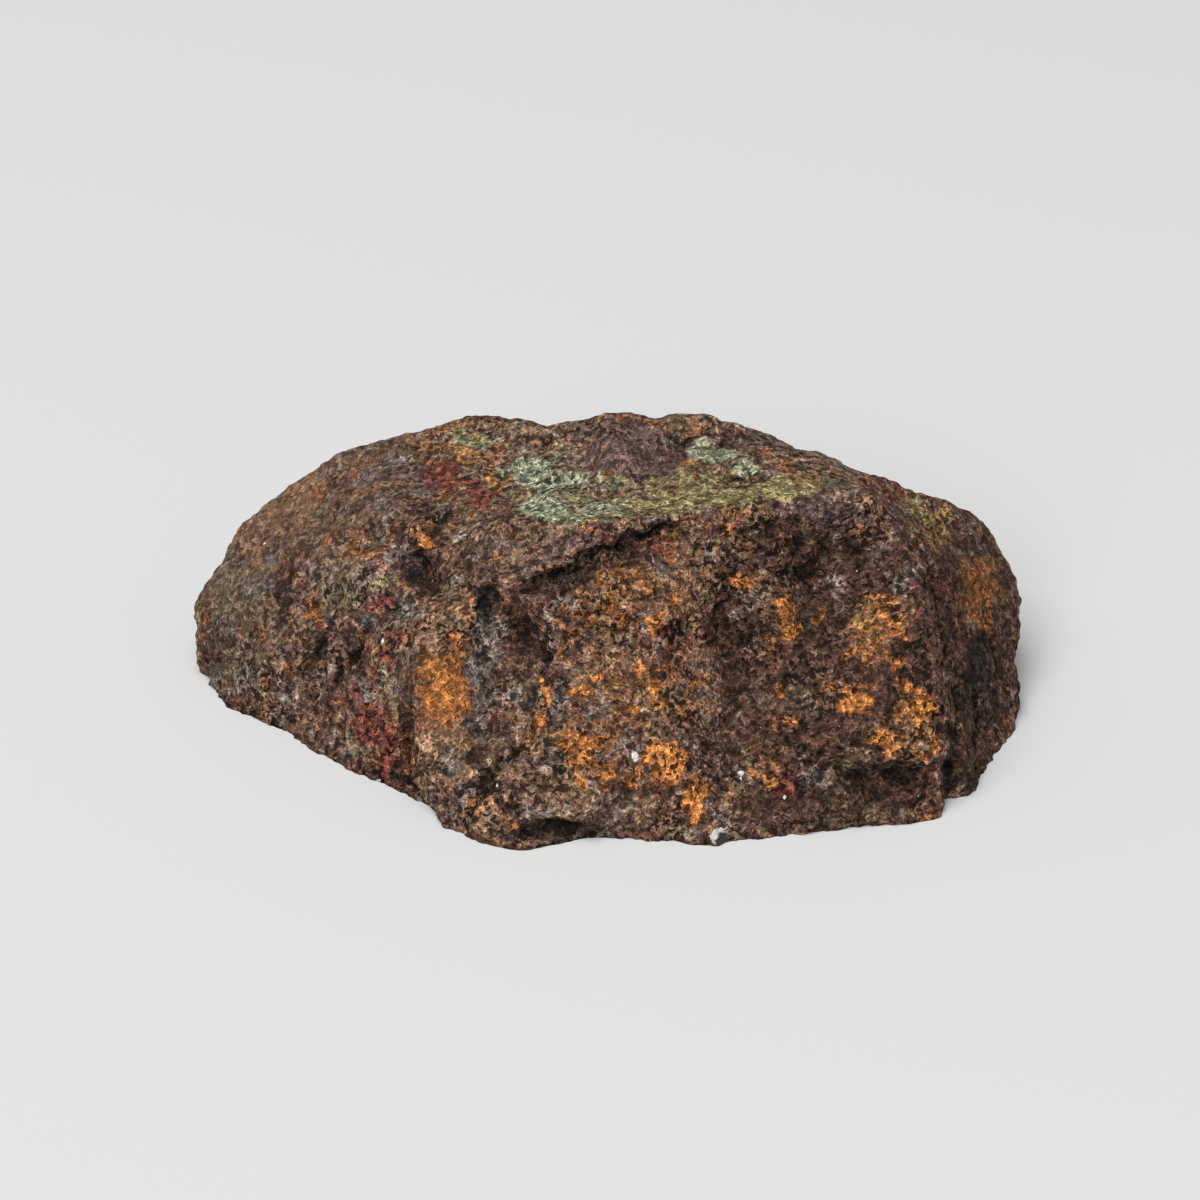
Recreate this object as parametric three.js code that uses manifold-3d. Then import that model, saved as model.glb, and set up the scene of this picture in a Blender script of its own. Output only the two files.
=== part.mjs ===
// A mesosiderite meteorite end cut: the rounded end of a rusted stony-iron meteorite, sawn off flat.
// It rests on the sawn face. The rest is natural crust: a steep front, a hollow crown behind a ledge,
// a long shoulder running down to the left and a blunt right end. It is one solid piece of stone.
// Millimetres, +Z up, +X to the right as seen from the front, +Y away to the back.

import * as THREE from "three";
import { ConvexHull } from "three/addons/math/ConvexHull.js";
import { ImprovedNoise } from "three/addons/math/ImprovedNoise.js";
import { mergeVertices } from "three/addons/utils/BufferGeometryUtils.js";
import Module from "manifold-3d";

// The front view that the visible side is laid out in: the stone is seen from above the horizon,
// from a hand's length away. "Across" and "up" are measured in that picture, from its middle.
const VIEW_ELEVATION = THREE.MathUtils.degToRad(30);
const VIEW_DISTANCE = 208;
const VIEW_TARGET = new THREE.Vector3(0, 0, 4.9);

// The heart of the stone. Every point of the crust can be reached from it in a straight line.
const HEART = new THREE.Vector3(0, 0, 4);

// How finely the crust is faceted: the steps along each edge of a twenty-sided ball, and how that
// ball is stretched before it is blown up to the crust, so that the facets come out even.
const FACET_STEPS = 26;
const BALL_STRETCH = new THREE.Vector3(1, 0.85, 0.8);

// The cap over which the crust's edges are rounded, seen from the heart, and the rings of places in
// it that are averaged: each ring's share of the cap's width, and how many places it has.
const EDGE_SOFTENING = THREE.MathUtils.degToRad(1.3);
const SOFTENING_RINGS = [
  { share: 0.5, places: 6 },
  { share: 1, places: 8 },
];
const MIDDLE_WEIGHT = 2;

// How far the uncut stone is carried on below the sawn plane, how much wider it is there, and how
// near to that plane a corner of the crust is moved onto it, so that the cut leaves no slivers.
const BELOW_CUT = 5;
const FLANK_SPREAD = 1.01;
const NEAR_CUT = 0.15;

const viewSin = Math.sin(VIEW_ELEVATION);
const viewCos = Math.cos(VIEW_ELEVATION);
const viewRight = new THREE.Vector3(1, 0, 0);
const viewUp = new THREE.Vector3(0, viewSin, viewCos);
const viewAway = new THREE.Vector3(0, viewCos, -viewSin);

// A point of the crust from where it is seen in the front view and its height above the cut.
function seen(across, up, height) {
  const rise = height - VIEW_TARGET.z;
  const back =
    (up * (VIEW_DISTANCE - viewSin * rise) - viewCos * rise * VIEW_DISTANCE) /
    (viewSin * VIEW_DISTANCE - viewCos * up);
  const depth = viewCos * back - viewSin * rise;
  const x = (across * (VIEW_DISTANCE + depth)) / VIEW_DISTANCE;
  return new THREE.Vector3(x + VIEW_TARGET.x, back + VIEW_TARGET.y, height);
}

// The rim of the sawn face, where the stone meets the table: the part seen from the front.
const rimSeen = [
  [-25.2, -4.3],
  [-24.4, -5.6],
  [-23.1, -6.9],
  [-20.6, -7.9],
  [-18.1, -9.4],
  [-15.6, -10.7],
  [-13.1, -11.9],
  [-10.8, -13.1],
  [-9.6, -14.5],
  [-7.6, -15.4],
  [-4.6, -15.8],
  [-2.6, -15.6],
  [-1.0, -15.1],
  [2.6, -15.1],
  [6.9, -15.5],
  [8.6, -15.3],
  [11.9, -14.9],
  [15.6, -14.3],
  [19.4, -14.0],
  [21.6, -13.7],
  [22.0, -12.5],
  [23.8, -12.0],
  [24.6, -9.9],
  [25.9, -8.4],
];

// The rest of the rim, hidden behind: x and y on the sawn plane.
const rimHidden = [
  [26.0, 0],
  [25.2, 6],
  [22.0, 12],
  [16.5, 16.5],
  [9.5, 19.2],
  [2.0, 20.0],
  [-6.5, 19.2],
  [-14.0, 16.4],
  [-20.0, 12.0],
  [-24.2, 6.5],
];

// The crust as seen from the front: across, up, and height above the cut.
const crustSeen = [
  // outline, from the left tip over the shoulder and crown to the right end
  [-25.5, -2.6, 2.3],
  [-25.0, 0.0, 4.4],
  [-24.2, 2.7, 6.4],
  [-22.2, 5.2, 8.5],
  [-19.9, 7.3, 10.3],
  [-16.9, 9.2, 12.2],
  [-12.5, 10.6, 13.8],
  [-8.1, 11.9, 15.3],
  [-3.6, 11.0, 15.6],
  [0.6, 11.2, 16.3],
  [3.0, 11.0, 16.1],
  [5.0, 11.9, 16.8],
  [8.4, 11.4, 16.4],
  [10.8, 10.1, 15.6],
  [14.6, 8.8, 14.6],
  [18.4, 7.4, 13.3],
  [22.2, 6.2, 11.7],
  [24.6, 5.0, 9.4],
  [26.0, 2.8, 7.2],
  [26.5, 0.2, 5.2],
  [26.4, -3.4, 2.8],
  [26.2, -6.4, 1.2],
  // brow, where the hollow crown turns over to the front, from the summit to the left
  [16.6, 7.1, 15.5],
  [13.8, 6.9, 16.0],
  [9.4, 6.1, 16.0],
  [5.0, 5.5, 15.9],
  [0.6, 4.9, 15.6],
  [-5.0, 5.0, 14.6],
  // ledge below the brow, from the summit to the left
  [18.4, 5.2, 14.4],
  [12.5, 5.0, 14.7],
  [7.5, 4.4, 14.5],
  [4.0, 4.2, 14.5],
  [-0.3, 2.8, 13.9],
  [-3.4, 1.7, 12.9],
  [-6.6, 0.5, 11.6],
  // floor of the hollow crown, and the low boss behind it
  [-5.6, 8.6, 14.3],
  [-2.4, 7.4, 14.2],
  [2.5, 6.6, 14.8],
  [8.1, 7.6, 15.2],
  [7.8, 9.8, 15.6],
  [1.3, 9.2, 15.9],
  // left shoulder
  [-9.4, 7.4, 13.4],
  [-9.0, 4.0, 12.6],
  [-13.8, 6.2, 12.8],
  [-14.4, 2.0, 10.4],
  [-18.1, 3.4, 9.6],
  [-21.9, 0.6, 6.8],
  [-10.8, 1.2, 10.6],
  // left front
  [-17.2, -3.1, 6.0],
  [-21.9, -4.4, 3.0],
  [-11.9, -3.8, 7.6],
  [-10.4, -6.0, 6.1],
  [-10.3, -10.6, 2.8],
  [-15.0, -7.8, 3.0],
  [-7.0, -12.4, 2.4],
  // front
  [-5.6, -2.5, 8.4],
  [-4.8, -7.5, 5.2],
  [3.0, -1.9, 10.3],
  [3.4, -8.8, 5.3],
  [8.1, -3.8, 7.1],
  [8.4, -9.4, 3.8],
  [12.8, 2.2, 11.5],
  [13.1, -3.8, 8.0],
  [17.8, -4.4, 8.1],
  [14.4, -9.4, 4.6],
  [19.4, 1.9, 12.2],
  [21.2, -4.7, 7.5],
  [21.6, -9.4, 4.0],
  // right end
  [22.6, 2.5, 9.6],
  [24.2, -3.8, 4.8],
];

// The back of the crust, which the front view doesn't show: x, y and height.
const crustBehind = [
  [-24.4, 4.0, 3.6],
  [-20.5, 10.0, 4.6],
  [-14.8, 14.0, 6.6],
  [-7.0, 17.6, 6.6],
  [2.5, 18.6, 6.2],
  [10.0, 17.4, 6.0],
  [17.0, 13.4, 5.6],
  [22.4, 9.0, 5.0],
  [25.4, 3.0, 3.6],
  [-16.5, 9.0, 9.0],
  [-8.0, 12.0, 9.6],
  [0.5, 13.0, 9.4],
  [8.0, 12.0, 9.4],
  [14.5, 9.0, 9.4],
  [20.5, 5.5, 8.6],
];

const rim = [
  ...rimSeen.map(([across, up]) => seen(across, up, 0)),
  ...rimHidden.map(([x, y]) => new THREE.Vector3(x, y, 0)),
];

const belowRim = rim.map(
  (p) => new THREE.Vector3(p.x * FLANK_SPREAD, p.y * FLANK_SPREAD, -BELOW_CUT),
);

const landmarks = [
  ...rim,
  ...belowRim,
  new THREE.Vector3(0, 0, -2 * BELOW_CUT),
  ...crustSeen.map(([across, up, height]) => seen(across, up, height)),
  ...crustBehind.map(([x, y, height]) => new THREE.Vector3(x, y, height)),
];

// Flat facets between neighbouring landmarks, as directions from the heart are neighbours on a ball.
function facetsBetween(points) {
  const pointOf = new Map();
  const directions = points.map((point) => {
    const direction = point.clone().sub(HEART).normalize();
    pointOf.set(direction, point);
    return direction;
  });
  const hull = new ConvexHull().setFromPoints(directions);
  return hull.faces.map((face) => {
    const corners = [];
    let edge = face.edge;
    do {
      corners.push(pointOf.get(edge.head().point));
      edge = edge.next;
    } while (edge !== face.edge);
    return new THREE.Triangle(...corners);
  });
}

const facets = facetsBetween(landmarks);

// How far the faceted stone reaches from the heart in a direction.
function reach(direction) {
  const ray = new THREE.Ray(HEART, direction);
  const hit = new THREE.Vector3();
  for (const facet of facets) {
    if (ray.intersectTriangle(facet.a, facet.b, facet.c, false, hit)) {
      return hit.distanceTo(HEART);
    }
  }
  throw new Error("a direction misses the stone");
}

const RIGHTWARD = new THREE.Vector3(1, 0, 0);
const UPRIGHT = new THREE.Vector3(0, 0, 1);

function steep(direction) {
  return Math.abs(direction.z) > Math.abs(direction.x);
}

// The same reach averaged over a small cap, which rounds the facets' edges.
function softReach(direction) {
  const side = direction.clone().cross(steep(direction) ? RIGHTWARD : UPRIGHT).normalize();
  const other = direction.clone().cross(side);
  let sum = MIDDLE_WEIGHT * reach(direction);
  let weight = MIDDLE_WEIGHT;
  for (const { share, places } of SOFTENING_RINGS) {
    const tilt = Math.tan(EDGE_SOFTENING * share);
    for (let i = 0; i < places; i++) {
      const turn = (2 * Math.PI * i) / places;
      const tilted = direction
        .clone()
        .addScaledVector(side, Math.cos(turn) * tilt)
        .addScaledVector(other, Math.sin(turn) * tilt)
        .normalize();
      sum += reach(tilted);
      weight += 1;
    }
  }
  return sum / weight;
}

// The place on the crust that is seen at a point of the front view.
const eye = VIEW_TARGET.clone().addScaledVector(viewAway, -VIEW_DISTANCE);

function placeSeen(across, up) {
  const aim = VIEW_TARGET.clone().addScaledVector(viewRight, across).addScaledVector(viewUp, up);
  const ray = new THREE.Ray(eye, aim.sub(eye).normalize());
  const hit = new THREE.Vector3();
  let nearest = null;
  for (const facet of facets) {
    if (!ray.intersectTriangle(facet.a, facet.b, facet.c, false, hit)) continue;
    if (!nearest || hit.distanceTo(eye) < nearest.distanceTo(eye)) nearest = hit.clone();
  }
  if (!nearest) throw new Error(`nothing is seen at ${across}, ${up}`);
  return nearest;
}

// Ridges and lumps of the crust: half width, height, and the line they follow in the front view.
const raised = [
  { half: 2.6, height: 0.9, along: [[-10.3, -4.4], [-10.2, -7.0], [-9.8, -10.6]] }, // rusty knob
  { half: 1.0, height: 0.6, along: [[-3.0, -2.6], [-3.0, -7.4]] }, // rib beside the knob's groove
  { half: 0.9, height: 0.6, along: [[6.6, 4.6], [2.6, 4.2], [-0.6, 3.1], [-4.8, 1.6]] }, // lip of the ledge
  { half: 1.2, height: 0.6, along: [[16.6, 6.6], [19.1, 2.6], [20.4, -1.4], [21.5, -5.8]] }, // edge
  { half: 1.2, height: 0.4, along: [[14.2, -9.8], [20.8, -9.6]] }, // sill over the lower recess
  { half: 1.2, height: 0.5, along: [[7.0, -13.2], [13.8, -12.8], [20.6, -12.6]] }, // lower lip
  { half: 2.2, height: 0.5, along: [[0.0, -0.8], [5.6, -0.2]] }, // head of the front panel
  { half: 2.0, height: 0.5, along: [[-8.0, -13.2], [-6.4, -14.4]] }, // toe
  { half: 1.6, height: 0.4, along: [[16.2, -1.2], [17.6, -6.2]] }, // right block
];

// Grooves, pits and hollows: half width, depth, and the line they follow in the front view.
const sunk = [
  { half: 1.3, depth: 0.8, along: [[-7.4, -1.2], [-7.4, -6.2], [-7.8, -9.6]] }, // beside the knob
  { half: 1.1, depth: 0.6, along: [[-12.6, -6.6], [-12.2, -10.4]] }, // other side of the knob
  { half: 1.1, depth: 0.8, along: [[4.6, 4.2], [2.6, 3.9], [-0.2, 2.7], [-5.2, 0.6]] }, // undercut
  { half: 1.2, depth: 0.7, along: [[-6.9, 0.1], [-7.5, -0.6]] }, // hole at the ledge's end
  { half: 2.2, depth: 0.7, along: [[-4.9, -2.3], [-4.2, -4.6]] }, // dark hollow
  { half: 1.5, depth: 0.9, along: [[9.2, 1.8], [8.2, -2.0], [8.6, -6.2], [9.0, -9.4]] }, // valley
  { half: 2.0, depth: 0.2, along: [[11.4, 1.4], [15.4, 1.2]] }, // hollow under the summit
  { half: 1.5, depth: 0.9, along: [[12.8, -11.2], [21.0, -11.3]] }, // recess over the lower lip
  { half: 1.2, depth: 0.7, along: [[-4.9, -13.6], [-2.4, -13.8]] }, // cavity at the rim
  { half: 1.0, depth: 1.3, along: [[21.7, -8.6], [22.0, -10.4], [22.1, -12.4]] }, // cleft by the lobe
  { half: 1.2, depth: 0.9, along: [[-9.6, 4.9], [-12.1, 2.4]] }, // gouge on the shoulder
  { half: 1.8, depth: 0.9, along: [[-11.4, 2.2], [-10.6, 0.6]] }, // dark pocket below the gouge
  { half: 0.9, depth: 0.7, along: [[16.6, -0.1], [15.4, -1.4]] }, // dent under the summit
  { half: 1.0, depth: 0.6, along: [[-15.0, -1.6], [-15.6, -3.6], [-16.8, -4.9]] }, // long crescent
  { half: 0.9, depth: 0.6, along: [[-17.2, -1.6], [-18.2, -4.1]] }, // short crescent
  { half: 1.1, depth: 0.5, along: [[-21.2, 3.1], [-19.6, 1.6]] }, // pits on the shoulder
  { half: 1.4, depth: 0.6, along: [[-22.6, -2.4], [-21.0, -4.8]] },
  { half: 0.8, depth: 0.5, along: [[-24.4, -3.2], [-24.2, -3.9]] },
  { half: 0.8, depth: 0.4, along: [[22.6, 0.6], [22.6, -6.8]] }, // furrows down the right end
  { half: 0.8, depth: 0.4, along: [[24.0, -1.6], [23.9, -7.6]] },
  { half: 0.9, depth: 0.5, along: [[6.4, 8.2], [9.4, 7.5], [11.4, 8.2]] }, // crack in the crown
];

// How far the ridges and hollows wander off their lines, and over what length they do so.
const WANDER = 1.2;
const WANDER_LENGTH = 2.6;

const noise = new ImprovedNoise();

// A smooth random value of about -1 to 1 at a point. Fields read in different places don't match.
function noiseAt(point, size, field) {
  const p = point.clone().divideScalar(size).add(field);
  return noise.noise(p.x, p.y, p.z);
}

const WANDER_FIELDS = [
  new THREE.Vector3(31.1, 0, 0),
  new THREE.Vector3(0, 47.3, 0),
  new THREE.Vector3(0, 0, 59.9),
];

function wandering(point) {
  const [x, y, z] = WANDER_FIELDS.map((field) => noiseAt(point, WANDER_LENGTH, field));
  return new THREE.Vector3(x, y, z);
}

const lines = [
  ...raised.map(({ half, height, along }) => ({ half, height, along })),
  ...sunk.map(({ half, depth, along }) => ({ half, height: -depth, along })),
].map(({ half, height, along }) => {
  const places = along.map(([across, up]) => placeSeen(across, up));
  const segments = places.slice(1).map((place, i) => new THREE.Line3(places[i], place));
  return { half, height, segments };
});

// The sum of the named ridges and hollows at a point of the crust. They wander off their lines.
function namedRelief(crustPoint) {
  const point = crustPoint.clone().addScaledVector(wandering(crustPoint), WANDER);
  const nearest = new THREE.Vector3();
  let sum = 0;
  for (const { half, height, segments } of lines) {
    let distance = Infinity;
    for (const segment of segments) {
      segment.closestPointToPoint(point, true, nearest);
      distance = Math.min(distance, nearest.distanceTo(point));
    }
    if (distance < half) sum += height * (1 - (distance / half) ** 2) ** 2;
  }
  return sum;
}

// Lumps of the weathered crust: wavelength and height. The creases between lumps are sharp.
const LUMPS = [
  { size: 6.5, height: 0.9 },
  { size: 3.3, height: 0.8 },
  { size: 1.9, height: 0.5 },
];
const LUMP_FIELD = new THREE.Vector3(17.3, 4.1, 9.7);
const MEAN_LUMP = 0.25; // the usual size of the random value, taken off so that the stone keeps its size

function lumps(point) {
  let sum = 0;
  for (const { size, height } of LUMPS) {
    sum += height * (Math.abs(noiseAt(point, size, LUMP_FIELD)) - MEAN_LUMP);
  }
  return sum;
}

// A point of the finished crust.
function crustAt(direction) {
  const point = HEART.clone().addScaledVector(direction, softReach(direction));
  return point.addScaledVector(direction, namedRelief(point) + lumps(point));
}

// The stone before it is sawn: a ball of even facets, each corner moved out to the crust.
function uncutStone() {
  const ball = new THREE.IcosahedronGeometry(1, FACET_STEPS - 1);
  ball.deleteAttribute("normal");
  ball.deleteAttribute("uv");
  const geometry = mergeVertices(ball);
  const corners = geometry.attributes.position;
  const direction = new THREE.Vector3();
  for (let i = 0; i < corners.count; i++) {
    direction.fromBufferAttribute(corners, i).multiply(BALL_STRETCH).normalize();
    const point = crustAt(direction);
    if (Math.abs(point.z) < NEAR_CUT) point.z = 0;
    corners.setXYZ(i, point.x, point.y, point.z);
  }
  return geometry;
}

// The block that the saw takes away, from the sawn plane down. It is larger than the stone all round.
const BLOCK_SPAN = 100;

function sawnAway() {
  const block = new THREE.BoxGeometry(BLOCK_SPAN, BLOCK_SPAN, BLOCK_SPAN);
  block.deleteAttribute("normal");
  block.deleteAttribute("uv");
  block.translate(0, 0, -BLOCK_SPAN / 2);
  return mergeVertices(block);
}

const wasm = await Module();
wasm.setup();

function solidOf(geometry) {
  const vertProperties = geometry.attributes.position.array;
  const triVerts = Uint32Array.from(geometry.index.array);
  return new wasm.Manifold(new wasm.Mesh({ numProp: 3, vertProperties, triVerts }));
}

const sawn = solidOf(uncutStone()).subtract(solidOf(sawnAway())).getMesh();

const geometry = new THREE.BufferGeometry();
geometry.setAttribute("position", new THREE.Float32BufferAttribute(sawn.vertProperties, 3));
geometry.setIndex(Array.from(sawn.triVerts));

// The origin is under the middle of the stone.
geometry.computeBoundingBox();
const middle = geometry.boundingBox.getCenter(new THREE.Vector3());
geometry.translate(-middle.x, -middle.y, 0);

const meteorite = new THREE.Mesh(
  geometry,
  new THREE.MeshStandardMaterial({ color: 0x5c4537, roughness: 0.85, metalness: 0.1 }),
);
meteorite.name = "meteorite";

const group = new THREE.Group();
group.add(meteorite);

export default group;
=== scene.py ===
"""The looks of a mesosiderite meteorite end cut: its weathered crust and its sawn face."""

import math

import bmesh
import bpy
import numpy as np
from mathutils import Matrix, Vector, noise
from mathutils.bvhtree import BVHTree


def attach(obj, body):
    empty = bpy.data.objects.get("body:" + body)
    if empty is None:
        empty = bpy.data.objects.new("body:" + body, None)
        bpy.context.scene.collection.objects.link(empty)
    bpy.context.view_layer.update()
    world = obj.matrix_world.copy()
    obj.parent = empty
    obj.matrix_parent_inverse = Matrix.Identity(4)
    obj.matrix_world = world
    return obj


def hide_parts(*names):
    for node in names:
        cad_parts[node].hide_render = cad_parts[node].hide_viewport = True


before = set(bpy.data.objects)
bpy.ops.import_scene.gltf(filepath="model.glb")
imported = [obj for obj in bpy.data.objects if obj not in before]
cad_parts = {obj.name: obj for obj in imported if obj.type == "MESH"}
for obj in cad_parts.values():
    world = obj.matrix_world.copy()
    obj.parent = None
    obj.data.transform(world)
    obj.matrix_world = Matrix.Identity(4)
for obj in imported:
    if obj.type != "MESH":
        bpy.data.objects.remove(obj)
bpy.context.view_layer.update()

MM = 0.001

# The photograph's view: 1200 pixels across, 75 mm of it at the stone, from 30 degrees above.
PHOTO_PIXELS = 1200
PHOTO_SPAN = 75.0
CAMERA_ELEVATION = math.radians(30)
CAMERA_DISTANCE = 208.0
CAMERA_TARGET = Vector((-0.315, 0.274, 4.9))
PIXELS_PER_MM = PHOTO_PIXELS / PHOTO_SPAN

VIEW_RIGHT = Vector((1, 0, 0))
VIEW_UP = Vector((0, math.sin(CAMERA_ELEVATION), math.cos(CAMERA_ELEVATION)))
VIEW_AWAY = Vector((0, math.cos(CAMERA_ELEVATION), -math.sin(CAMERA_ELEVATION)))
CAMERA_PLACE = CAMERA_TARGET - VIEW_AWAY * CAMERA_DISTANCE

# How finely the crust is meshed: each facet of the solid is divided this many times along an edge. Its
# corners are then rounded, and rounded further still for the smooth crust that relief is told from.
FACET_DIVISIONS = 4
ROUNDING_PASSES = 5
SMOOTHING_PASSES = 14

# Corners nearer than this are one corner, and faces lower than this are sawn, in millimetres.
SAME_PLACE = 0.001
SAWN_HEIGHT = 0.001

# A normal shorter than this is divided by this instead of its length.
SHORTEST_NORMAL = 1e-12

# The crust's own roughness. It has lumps of two sizes, a grain, crumbs with creases between them, and
# pits. Each has a pitch, as waves to a millimetre, and a height in millimetres. The vectors set their
# patterns apart, and a pit reaches the last number of waves from its middle.
LUMPS = [
    (0.6, 0.2, Vector((3.1, 7.7, 1.3))),
    (1.3, 0.25, Vector((9.2, 2.4, 5.5))),
]
GRAIN_PITCH = 2.6
GRAIN_HEIGHT = 0.12
CRUMB_PITCH = 1.6
CRUMB_HEIGHT = 0.14
CRUMB_FIELD = Vector((5.0, 1.0, 8.0))
PIT_PITCH = 0.42
PIT_DEPTH = 0.25
PIT_REACH = 0.34

# The crust is smoother where it faces up: by this share where it is level, and less down to where the
# upward part of its normal is the second number.
LEVEL_SMOOTHNESS = 0.55
LEVEL_BEGINS = 0.25

# Grooves, ridges and stains wander this many millimetres off their line, about this often.
WANDER = 0.6
WANDER_PITCH = 0.9
WANDER_FIELDS = [Vector((31.1, 0, 0)), Vector((0, 47.3, 0)), Vector((0, 0, 59.9))]


def linear(red, green, blue):
    """A colour as it looks on screen, 0 to 255, as the light it gives back, by the sRGB standard."""
    def channel(value):
        value /= 255
        return value / 12.92 if value < 0.04045 else ((value + 0.055) / 1.055) ** 2.4
    return (channel(red), channel(green), channel(blue), 1.0)


# Geometry. All lengths in this part are millimetres; the mesh is scaled to metres at the end.

def solid_of_stone():
    """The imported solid, in millimetres, with its shared corners joined."""
    solid = bmesh.new()
    solid.from_mesh(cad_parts["meteorite"].data)
    bmesh.ops.scale(solid, vec=(1 / MM, 1 / MM, 1 / MM), verts=solid.verts)
    bmesh.ops.remove_doubles(solid, verts=solid.verts, dist=SAME_PLACE)
    return solid


def divided_crust(solid):
    """The solid without its sawn face, finely divided: corner places, triangles, edges and rim corners."""
    crust = solid.copy()
    flat = [f for f in crust.faces if all(v.co.z < SAWN_HEIGHT for v in f.verts)]
    bmesh.ops.delete(crust, geom=flat, context="FACES")
    bmesh.ops.subdivide_edges(crust, edges=crust.edges, cuts=FACET_DIVISIONS - 1, use_grid_fill=True)
    bmesh.ops.triangulate(crust, faces=crust.faces)
    crust.verts.index_update()
    places = np.array([v.co for v in crust.verts])
    triangles = np.array([[v.index for v in f.verts] for f in crust.faces])
    edges = np.array([[v.index for v in e.verts] for e in crust.edges])
    rim = np.array([v.is_boundary for v in crust.verts])
    crust.free()
    return places, triangles, edges, rim


def rounded(places, edges, rim, passes):
    """Each place moved half way to the mean of its neighbours, again and again. The rim stays level."""
    links = edges[(rim[edges].sum(axis=1) != 1)]
    counts = np.zeros(len(places))
    np.add.at(counts, links[:, 0], 1)
    np.add.at(counts, links[:, 1], 1)
    for _ in range(passes):
        sums = np.zeros_like(places)
        np.add.at(sums, links[:, 0], places[links[:, 1]])
        np.add.at(sums, links[:, 1], places[links[:, 0]])
        places = (places + sums / np.maximum(counts, 1)[:, None]) / 2
    return places


def outward(places, triangles):
    """The direction straight out of the surface at each corner."""
    corners = places[triangles]
    across = np.cross(corners[:, 1] - corners[:, 0], corners[:, 2] - corners[:, 0])
    normals = np.zeros_like(places)
    for corner in range(3):
        np.add.at(normals, triangles[:, corner], across)
    return normals / np.maximum(np.linalg.norm(normals, axis=1, keepdims=True), SHORTEST_NORMAL)


def in_photo(places):
    """Where places on the stone are seen in the photograph, in its pixels."""
    offsets = places - np.array(CAMERA_TARGET)
    scale = CAMERA_DISTANCE / (CAMERA_DISTANCE + offsets @ np.array(VIEW_AWAY)) * PIXELS_PER_MM
    across = PHOTO_PIXELS / 2 + offsets @ np.array(VIEW_RIGHT) * scale
    down = PHOTO_PIXELS / 2 - offsets @ np.array(VIEW_UP) * scale
    return np.stack([across, down], axis=1)


def spot(surface, pixel):
    """The place on the stone that is seen at a pixel of the photograph."""
    across = (pixel[0] - PHOTO_PIXELS / 2) / PIXELS_PER_MM
    up = (PHOTO_PIXELS / 2 - pixel[1]) / PIXELS_PER_MM
    aim = CAMERA_TARGET + VIEW_RIGHT * across + VIEW_UP * up - CAMERA_PLACE
    place = surface.ray_cast(CAMERA_PLACE, aim.normalized())[0]
    if place is None:
        raise ValueError(f"no stone is seen at pixel {pixel}")
    return np.array(place)


def wandering(places):
    """Places pushed about by noise, so that what is measured from them gets a ragged edge."""
    shifts = []
    for place in places:
        point = Vector(place) * WANDER_PITCH
        shifts.append([noise.noise(point + field) for field in WANDER_FIELDS])
    return places + WANDER * np.array(shifts)


def nearness(places, path, half):
    """1 on a path through places on the stone, falling smoothly to 0 at half its width."""
    nearest = np.full(len(places), np.inf)
    for start, end in zip(path, path[1:]):
        along = end - start
        share = np.clip((places - start) @ along / (along @ along), 0, 1)
        nearest = np.minimum(nearest, np.linalg.norm(places - start - share[:, None] * along, axis=1))
    return np.clip(1 - (nearest / half) ** 2, 0, 1) ** 2


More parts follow.
